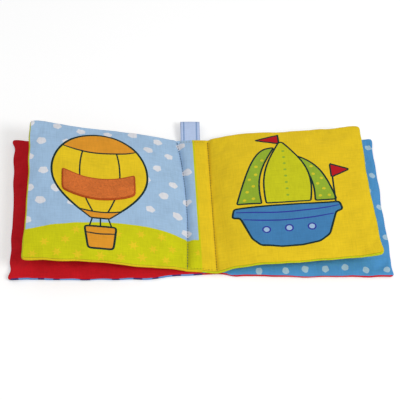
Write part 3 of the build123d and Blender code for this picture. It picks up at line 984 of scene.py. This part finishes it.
def make_felt():
    """Felt band cut with two arcs, lying on the left page, its edge pressed down by the seam."""
    cx, cy = np.mean(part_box("feel_patch"), axis=0)[0] / MM, 12.0
    across, up, sag = 33.0, 12.0, 9.0
    shares = np.linspace(-1, 1, 60)
    lower = sagging(cx, cy - up, across, sag, shares)
    upper = sagging(cx, cy + up, across, sag, shares[::-1])
    loop = softened(resampled(lower + upper, 1.0, True), 14, True)
    inner = grown(loop, -1.6)

    def from_edge(points):
        return np.array([np.linalg.norm(loop - p, axis=1).min() for p in points])

    bands = np.vstack([grown(loop, -depth) for depth in (0.4, 0.9, 2.2)])
    columns = np.arange(cx - 36, cx + 36, 1.0)
    flat, triangles, colours = cut_sheet(loop, [(inner, FELT)], FELT_EDGE, columns, bands, from_edge)
    border = open_loop(triangles)
    gap = from_edge(flat)
    seat, _ = left_leaf.heights(flat)
    rng = random.Random(6)
    rough = np.array([rng.uniform(-0.12, 0.12) for _ in flat]) * (gap > 0.7)
    top = seat + 0.3 + 1.05 * crisp(gap, 1.8) + rough - 0.25 * np.exp(-(((gap - 2.1) / 0.8) ** 2))
    points = np.vstack([np.column_stack([flat, top]), np.column_stack([flat, seat + 0.06])])
    n = len(flat)
    faces = triangles + [[n + v for v in tri[::-1]] for tri in triangles]
    faces += [[a, n + a, n + b, b] for a, b in zip(border, border[1:] + border[:1])]
    colours = colours + colours + [linear(FELT_EDGE)] * len(border)
    cloth = np.column_stack([np.vstack([flat, flat]), np.zeros(2 * n)])
    return make_mesh("felt_band", points, faces, colours, cloth, nap)


felt_band = make_felt()


def make_ribbon():
    """Strip of ribbon folded into a loop, its tails lying on each other in the spine's end."""
    (x0, foot, _), (x1, tip, _) = np.array(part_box("ribbon_loop")) / MM
    root, foot = 73.6, foot + 0.3
    z0 = COVER_SEAM_TOP + 0.15
    middle_z, radius = z0 + 1.5, 3.4
    path = [(foot, z0 + 0.25), (root - 2, z0 + 0.25), (root + 5, z0 - 0.4)]
    path += [(root + 12, z0 - 1.3), (tip - 5, z0 - 1.9)]
    for a in np.linspace(0.1, math.pi - 0.1, 12):
        path.append((tip - 4.2 + radius * math.sin(a), middle_z - radius * math.cos(a)))
    path += [(tip - 6, z0 + 4.8), (root + 12, z0 + 3.9)]
    path += [(root + 5, z0 + 2.1), (root - 2, z0 + 0.8), (foot, z0 + 0.8)]
    step, count, half_thickness = 0.7, 24, 0.24
    # In plan the strip leans, from a little to the left at its root to the middle at its tip
    root_shift, tip_shift = -0.85, 0.08
    line = softened(resampled(path, step), 3)
    outward = normals(line)
    s = np.arange(len(line)) * step
    # Round the strip once: over its upper side from edge to edge, and back over its under side
    around = [(k / count, half_thickness) for k in range(count + 1)]
    around += [(t, -layer) for t, layer in around[::-1]]
    points, cloth = [], []
    for i, (y, z) in enumerate(line):
        free = float(ease((y - root) / 8))
        shift = np.interp(y, (root, tip), (root_shift, tip_shift))
        middle = (x0 + x1) / 2 + shift + 0.2 * free * math.sin(s[i] / 9)
        for t, layer in around:
            curl = 0.5 * free * (2 * t - 1) ** 2
            x = middle + (t - 0.5) * (x1 - x0)
            points.append((x, y + outward[i][0] * layer, z + outward[i][1] * (layer - curl * 0.6)))
            cloth.append((t * 18, s[i], 0))
    inks = [RIBBON] * count
    for k, ink in ((0, RIBBON_EDGE), (3, RIBBON_LINE), (4, RIBBON_LINE)):
        inks[k] = inks[-1 - k] = ink
    shades = [np.array(linear(ink)) for ink in (inks + [RIBBON]) * 2]
    fold = s[int(np.argmax(line[:, 0]))]
    wide = len(around)
    faces, colours = [], []
    for i in range(len(line) - 1):
        # Painted shade: the strip is up to a third darker where it turns round at the loop's tip
        painted_fold_shade = math.exp(-(((s[i] - fold) / 1.6) ** 2))
        for k in range(wide):
            a, b = i * wide + k, i * wide + (k + 1) % wide
            faces.append([a, b, b + wide, a + wide])
            at_side = k % (count + 1) == count
            colours.append(shades[k] * (1 if at_side else 1 - 0.34 * painted_fold_shade))
    last = len(points) - wide
    for k in range(count):
        end = [k, wide - 1 - k, wide - 2 - k, k + 1]
        faces += [end, [last + v for v in end[::-1]]]
        colours += [linear(RIBBON)] * 2
    return make_mesh("ribbon_loop_woven", points, faces, colours, cloth, satin)


ribbon = make_ribbon()


def stitches(places, colour, points, faces, colours, width):
    """Adds a short thread between each pair of places, sunk at both ends."""
    for a, b in places:
        a, b = Vector(a), Vector(b)
        way = (b - a).normalized()
        side = way.cross(Vector((0, 0, 1))).normalized()
        up = side.cross(way)
        start = len(points)
        for t in np.linspace(0, 1, 6):
            fat = width / 2 * math.sqrt(max(1 - (2 * t - 1) ** 4, 0.05))
            core = a.lerp(b, t) + up * (0.18 * math.sin(math.pi * t) - 0.1)
            for k in range(6):
                w = math.pi / 3 * k
                points.append(core + side * (fat * math.cos(w)) + up * (fat * math.sin(w)))
        for p in range(start, start + 30, 6):
            for k in range(6):
                m = (k + 1) % 6
                faces.append([p + k, p + 6 + k, p + 6 + m, p + m])
        faces += [list(range(start, start + 6)), list(range(start + 35, start + 29, -1))]
        colours += [linear(colour)] * 32


def row_of(place, length, pitch, gap, height):
    """Pairs of places along a line in plan, which place gives from 0 to 1, on a surface of that height."""
    count = int(length / pitch)
    ends = np.array([(place(i / count), place((i + 1 - gap) / count)) for i in range(count)])
    return np.dstack([ends, height(ends.reshape(-1, 2)).reshape(-1, 2, 1)])


def make_stitches(name, leaf, colour):
    """The row along the fold, and the short ones across both ends of the spine."""
    points, faces, colours = [], [], []
    near, far = (-70.2 if leaf.side < 0 else -72.4), 73.6
    start, end = near - 0.4, far + 0.7

    def along_fold(t):
        y = start + (end - start) * t
        return leaf.side * float(leaf.fold_line(y)), y

    def height(p):
        return leaf.heights(p)[0] + 0.12

    stitches(row_of(along_fold, end - start, 2.9, 0.25, height), colour, points, faces, colours, 0.6)
    for y, middle in ((near, -71), (far, far)):
        fold = leaf.side * float(leaf.fold_line(y) - 2.8)
        first, last = np.array(((fold, y), (0, middle))[:: -leaf.side])
        across = row_of(lambda t: first + (last - first) * t, abs(fold), 2.4, 0.35, height)
        stitches(across, THREAD_OCHRE, points, faces, colours, 0.36)
    return make_mesh(name, points, faces, colours, np.array(points), thread)


# The left row's dark blue is partly painted shade of its crease
left_stitches = make_stitches("left_fold_stitches", left_leaf, BLUE_THREAD_WITH_PAINTED_CREASE_SHADE)
right_stitches = make_stitches("right_fold_stitches", right_leaf, THREAD_BROWN)

# What stands for which solid; the felt and the ribbon go with their bodies


def fold_over(piece, side):
    """Bakes the piece's placement into its mesh; the ends of the fold beside it are worked out but not used.
    """
    start, end = ((side * at * MM, 0, FOLD_Z * MM) for at in (BLEND_FROM, BLEND_TO))
    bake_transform(piece)
    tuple(start)
    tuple(end)


for piece, body, side, nodes, slot in (
    (left_page, "front_half", -1, ("left_page", "page_gutter"), "page_fabric_pale_blue"),
    (right_page, "back_half", 1, ("right_page", "page_gutter"), "page_fabric_yellow"),
    (front_cover, "front_half", -1, ("front_cover", "cover_spine"), "cover_fabric_red"),
    (back_cover, "back_half", 1, ("back_cover", "cover_spine"), "cover_fabric_blue"),
):
    fold_over(piece, side)
    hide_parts(*nodes)
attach(felt_band, "front_half")
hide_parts("feel_patch")
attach(ribbon, "spine")
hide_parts("ribbon_loop")
fold_over(left_stitches, -1)
fold_over(right_stitches, 1)


# Floor, light and camera


def make_floor():
    mesh = bpy.data.meshes.new("floor")
    mesh.from_pydata([(-6, -6, 0), (6, -6, 0), (6, 6, 0), (-6, 6, 0)], [], [[0, 1, 2, 3]])
    material = bpy.data.materials.new("white paper sweep")
    tree = emptied(material)
    paper = add(tree, "BsdfDiffuse", {"Color": (0.8, 0.8, 0.8, 1)})
    # Lifts the paper to plain white for the camera alone, and leaves the book's shadow on it
    path = add(tree, "LightPath")
    seen = add(tree, "Math", {1: 0.33}, {0: path.outputs["Is Camera Ray"]}, operation="MULTIPLY")
    lift = add(tree, "Emission", {"Color": (1, 1, 1, 1)}, {"Strength": seen.outputs[0]})
    both = add(tree, "AddShader", {}, {0: paper.outputs[0], 1: lift.outputs[0]})
    add(tree, "OutputMaterial", {}, {"Surface": both.outputs[0]})
    mesh.materials.append(material)
    return placed("floor", mesh)


make_floor()

world = bpy.data.worlds.new("studio")
bpy.context.scene.world = world
studio = emptied(world)
seen = add(studio, "LightPath")
level = add(studio, "MapRange", {"To Min": 0.56, "To Max": 1.0}, {"Value": seen.outputs["Is Camera Ray"]})
around = add(studio, "Background", {"Color": (1, 1, 1, 1)}, {"Strength": level.outputs[0]})
add(studio, "OutputWorld", {}, {"Surface": around.outputs[0]})


def softbox(name, place, size, power):
    data = bpy.data.lights.new(name, "AREA")
    data.shape, data.size, data.energy = "DISK", size, power
    lamp = placed(name, data)
    lamp.location = place
    lamp.rotation_euler = (-Vector(place)).to_track_quat("-Z", "Y").to_euler()


# The key, from the near right, shows the gathers; the fill, from the left, opens their shadows
softbox("key softbox", (0.75, -0.6, 1.0), 0.5, 8.2)
softbox("fill softbox", (-0.7, 0.1, 1.1), 0.8, 1.0)

# Camera fitted to the four corners of the covers in the photograph, a little rolled
azimuth, elevation, roll = (math.radians(angle) for angle in (-7.64, 52.06, 5.78))
target, distance = (0.0026, 0.0095, 0), 1.276
lens = bpy.data.cameras.new("camera")
lens.lens, lens.sensor_width = 126, 36
lens.clip_start, lens.clip_end = 0.1, 30
turn = Matrix.Rotation(azimuth, 4, "Z") @ Matrix.Rotation(math.pi / 2 - elevation, 4, "X")
turn = turn @ Matrix.Rotation(roll, 4, "Z")
camera = placed("camera", lens)
camera.matrix_world = Matrix.Translation(target) @ turn @ Matrix.Translation((0, 0, distance))
bpy.context.scene.camera = camera
bpy.context.scene.view_settings.view_transform = "Standard"
